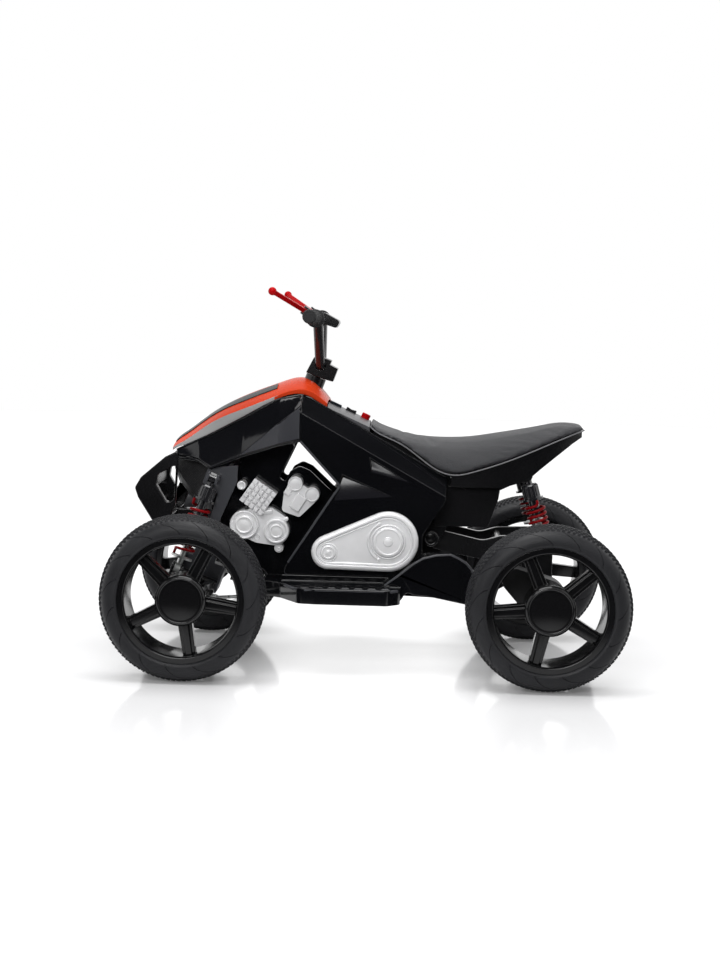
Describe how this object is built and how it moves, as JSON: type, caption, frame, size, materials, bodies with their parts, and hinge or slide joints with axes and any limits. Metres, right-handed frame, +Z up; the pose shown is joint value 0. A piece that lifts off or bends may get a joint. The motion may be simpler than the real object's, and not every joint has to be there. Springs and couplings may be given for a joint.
{
  "type": "kids quad bike",
  "caption": "Child's electric ride-on quad with faceted side panels, a long scooped seat, raised handlebar, sprung front arms and rear swing arm, and big five-spoke wheels.",
  "frame": {"origin": "on the ground under the middle of the bounding box, midway between the four wheels", "axes": "+X forward, +Y to the rider's left, +Z up"},
  "size_m": [1.02, 0.67, 0.7562],
  "materials": {
    "body_black": "polished moulded plastic",
    "frame_black": "grained moulded plastic",
    "orange": "polished moulded plastic",
    "stripe_black": "gloss film",
    "tower_grey": "satin paint",
    "silver": "silver paint on plastic",
    "dash_grey": "satin moulded plastic",
    "screen": "gloss lens",
    "lamp_lens": "clear moulded lens",
    "seat_hide": "grained leatherette",
    "tyre_black": "moulded tread",
    "rim_black": "polished moulded plastic",
    "grip_rubber": "ribbed rubber",
    "bar_black": "satin powder coat",
    "lever_red": "polished moulded plastic",
    "spring_red": "gloss paint",
    "zinc": "zinc plate",
    "shock_black": "satin paint",
    "case_black": "plain moulded plastic"
  },
  "bodies": {
    "chassis": {"chassis_tub": "frame_black", "side_panel_left": "body_black", "side_panel_right": "body_black", "footboard_left": "frame_black", "footboard_right": "frame_black", "nose_cover": "orange", "nose_stripes": "stripe_black", "nose_shell": "frame_black", "headlights": "lamp_lens", "front_bumper": "body_black", "dash_panel": "dash_grey", "display": "screen", "seat_base": "frame_black", "seat_cushion": "seat_hide", "rear_housing": "frame_black", "dummy_engines": "silver", "belt_covers": "silver", "battery_pack": "case_black", "control_box": "case_black", "front_cross_member": "tower_grey", "steering_collar": "frame_black", "pivot_bolts": "zinc"},
    "power_button": {"power_button": "lever_red"},
    "rocker_switch": {"rocker_switch": "frame_black"},
    "accelerator_pedal": {"accelerator_pedal": "frame_black"},
    "steering": {"handlebar": "bar_black", "grips": "grip_rubber", "handlebar_clamp": "frame_black", "steering_column": "bar_black", "bar_pod": "frame_black", "lever_perches": "bar_black"},
    "rear_swing": {"swing_arm": "bar_black", "rear_axle": "zinc", "gearboxes": "case_black", "drive_motors": "case_black"},
    "rear_shock_bodies": {"rear_shock_bodies": "shock_black", "rear_springs": "spring_red"},
    "rear_shock_rods": {"rear_shock_rods": "zinc"},
    "front_arm_left": {"front_arm_left": "bar_black"},
    "knuckle_left": {"knuckle_left": "zinc"},
    "tie_rod_left": {"tie_rod_left": "zinc"},
    "front_shock_body_left": {"front_shock_body_left": "shock_black", "front_spring_left": "spring_red"},
    "front_shock_rod_left": {"front_shock_rod_left": "zinc"},
    "wheel_front_left": {"rim_front_left": "rim_black", "tyre_front_left": "tyre_black"},
    "wheel_rear_left": {"rim_rear_left": "rim_black", "tyre_rear_left": "tyre_black"},
    "brake_lever_left": {"brake_lever_left": "lever_red"},
    "front_arm_right": {"front_arm_right": "bar_black"},
    "knuckle_right": {"knuckle_right": "zinc"},
    "tie_rod_right": {"tie_rod_right": "zinc"},
    "front_shock_body_right": {"front_shock_body_right": "shock_black", "front_spring_right": "spring_red"},
    "front_shock_rod_right": {"front_shock_rod_right": "zinc"},
    "wheel_front_right": {"rim_front_right": "rim_black", "tyre_front_right": "tyre_black"},
    "wheel_rear_right": {"rim_rear_right": "rim_black", "tyre_rear_right": "tyre_black"},
    "brake_lever_right": {"brake_lever_right": "lever_red"}
  },
  "joints": [
    {"name": "steering", "type": "hinge", "parent": "chassis", "child": "steering", "pos_m": [0.108, 0, 0.604], "axis": [-0.342, 0, 0.9397], "range_deg": [-22, 22]},
    {"name": "front_suspension_left", "type": "hinge", "parent": "chassis", "child": "front_arm_left", "pos_m": [0.35, 0.03, 0.16], "axis": [0.9397, 0, 0.342], "range_deg": [0, 6], "stiffness_Nm_per_rad": 150, "springref_deg": -17.19, "deforming": ["front_spring_left"]},
    {"name": "knuckle_left", "type": "hinge", "parent": "front_arm_left", "child": "knuckle_left", "pos_m": [0.35, 0.205, 0.16], "axis": [-0.342, 0, 0.9397], "range_deg": [-22, 22]},
    {"name": "tie_rod_left", "type": "hinge", "parent": "knuckle_left", "child": "tie_rod_left", "pos_m": [0.29541, 0.205, 0.14918], "axis": [-0.342, 0, 0.9397], "range_deg": [-22, 22]},
    {"name": "front_shock_body_left", "type": "hinge", "parent": "chassis", "child": "front_shock_body_left", "pos_m": [0.31209, 0.13, 0.37819], "axis": [0.9397, 0, 0.342], "range_deg": [-1, 0]},
    {"name": "front_shock_rod_left", "type": "hinge", "parent": "front_arm_left", "child": "front_shock_rod_left", "pos_m": [0.37776, 0.15, 0.19777], "axis": [0.9397, 0, 0.342], "range_deg": [-7, 0]},
    {"name": "wheel_front_left", "type": "hinge", "parent": "knuckle_left", "child": "wheel_front_left", "pos_m": [0.35, 0.28, 0.16], "axis": [0, 1, 0], "continuous": true},
    {"name": "wheel_rear_left", "type": "hinge", "parent": "rear_swing", "child": "wheel_rear_left", "pos_m": [-0.35, 0.28, 0.16], "axis": [0, 1, 0], "continuous": true},
    {"name": "brake_lever_left", "type": "hinge", "parent": "steering", "child": "brake_lever_left", "pos_m": [0.13352, 0.13339, 0.71132], "axis": [-0.5439, 0.0152, 0.839], "range_deg": [0, 16], "stiffness_Nm_per_rad": 0.5, "springref_deg": -20.05},
    {"name": "front_suspension_right", "type": "hinge", "parent": "chassis", "child": "front_arm_right", "pos_m": [0.35, -0.03, 0.16], "axis": [-0.9397, 0, -0.342], "range_deg": [0, 6], "stiffness_Nm_per_rad": 150, "springref_deg": -17.19, "deforming": ["front_spring_right"]},
    {"name": "knuckle_right", "type": "hinge", "parent": "front_arm_right", "child": "knuckle_right", "pos_m": [0.35, -0.205, 0.16], "axis": [-0.342, 0, 0.9397], "range_deg": [-22, 22]},
    {"name": "tie_rod_right", "type": "hinge", "parent": "knuckle_right", "child": "tie_rod_right", "pos_m": [0.29541, -0.205, 0.14918], "axis": [-0.342, 0, 0.9397], "range_deg": [-22, 22]},
    {"name": "front_shock_body_right", "type": "hinge", "parent": "chassis", "child": "front_shock_body_right", "pos_m": [0.31209, -0.13, 0.37819], "axis": [-0.9397, 0, -0.342], "range_deg": [-1, 0]},
    {"name": "front_shock_rod_right", "type": "hinge", "parent": "front_arm_right", "child": "front_shock_rod_right", "pos_m": [0.37776, -0.15, 0.19777], "axis": [-0.9397, 0, -0.342], "range_deg": [-7, 0]},
    {"name": "wheel_front_right", "type": "hinge", "parent": "knuckle_right", "child": "wheel_front_right", "pos_m": [0.35, -0.28, 0.16], "axis": [0, 1, 0], "continuous": true},
    {"name": "wheel_rear_right", "type": "hinge", "parent": "rear_swing", "child": "wheel_rear_right", "pos_m": [-0.35, -0.28, 0.16], "axis": [0, 1, 0], "continuous": true},
    {"name": "brake_lever_right", "type": "hinge", "parent": "steering", "child": "brake_lever_right", "pos_m": [0.13352, -0.13339, 0.71132], "axis": [0.5439, 0.0152, -0.839], "range_deg": [0, 16], "stiffness_Nm_per_rad": 0.5, "springref_deg": -20.05},
    {"name": "rear_suspension", "type": "hinge", "parent": "chassis", "child": "rear_swing", "pos_m": [-0.125, 0, 0.265], "axis": [0, 1, 0], "range_deg": [0, 5], "stiffness_Nm_per_rad": 400, "springref_deg": -17.19, "deforming": ["rear_springs"]},
    {"name": "rear_shock_bodies", "type": "hinge", "parent": "chassis", "child": "rear_shock_bodies", "pos_m": [-0.314, 0, 0.396], "axis": [0, 1, 0], "range_deg": [0, 2.5]},
    {"name": "rear_shock_rods", "type": "hinge", "parent": "rear_swing", "child": "rear_shock_rods", "pos_m": [-0.352, 0, 0.262], "axis": [0, 1, 0], "range_deg": [-3, 0]},
    {"name": "power_button", "type": "slide", "parent": "chassis", "child": "power_button", "axis": [0.4003, 0, -0.9164], "range_m": [0, 0.003], "stiffness_N_per_m": 200, "springref_m": -0.004},
    {"name": "rocker_switch", "type": "hinge", "parent": "chassis", "child": "rocker_switch", "pos_m": [0.04442, 0, 0.50978], "axis": [0, 1, 0], "range_deg": [-8, 8]},
    {"name": "accelerator_pedal", "type": "hinge", "parent": "chassis", "child": "accelerator_pedal", "pos_m": [0.0752, -0.17, 0.1833], "axis": [0, 1, 0], "range_deg": [0, 11], "stiffness_Nm_per_rad": 0.6, "springref_deg": -20.05}
  ],
  "couplings": [
    {"joint": "knuckle_left", "follows": "steering", "ratio": 1},
    {"joint": "tie_rod_left", "follows": "steering", "ratio": -1},
    {"joint": "front_shock_body_left", "follows": "front_suspension_left", "ratio": -0.105},
    {"joint": "front_shock_rod_left", "follows": "front_suspension_left", "ratio": -1.105},
    {"joint": "knuckle_right", "follows": "steering", "ratio": 1},
    {"joint": "tie_rod_right", "follows": "steering", "ratio": -1},
    {"joint": "front_shock_body_right", "follows": "front_suspension_right", "ratio": -0.105},
    {"joint": "front_shock_rod_right", "follows": "front_suspension_right", "ratio": -1.105},
    {"joint": "rear_shock_bodies", "follows": "rear_suspension", "ratio": 0.46},
    {"joint": "rear_shock_rods", "follows": "rear_suspension", "ratio": -0.54}
  ]
}
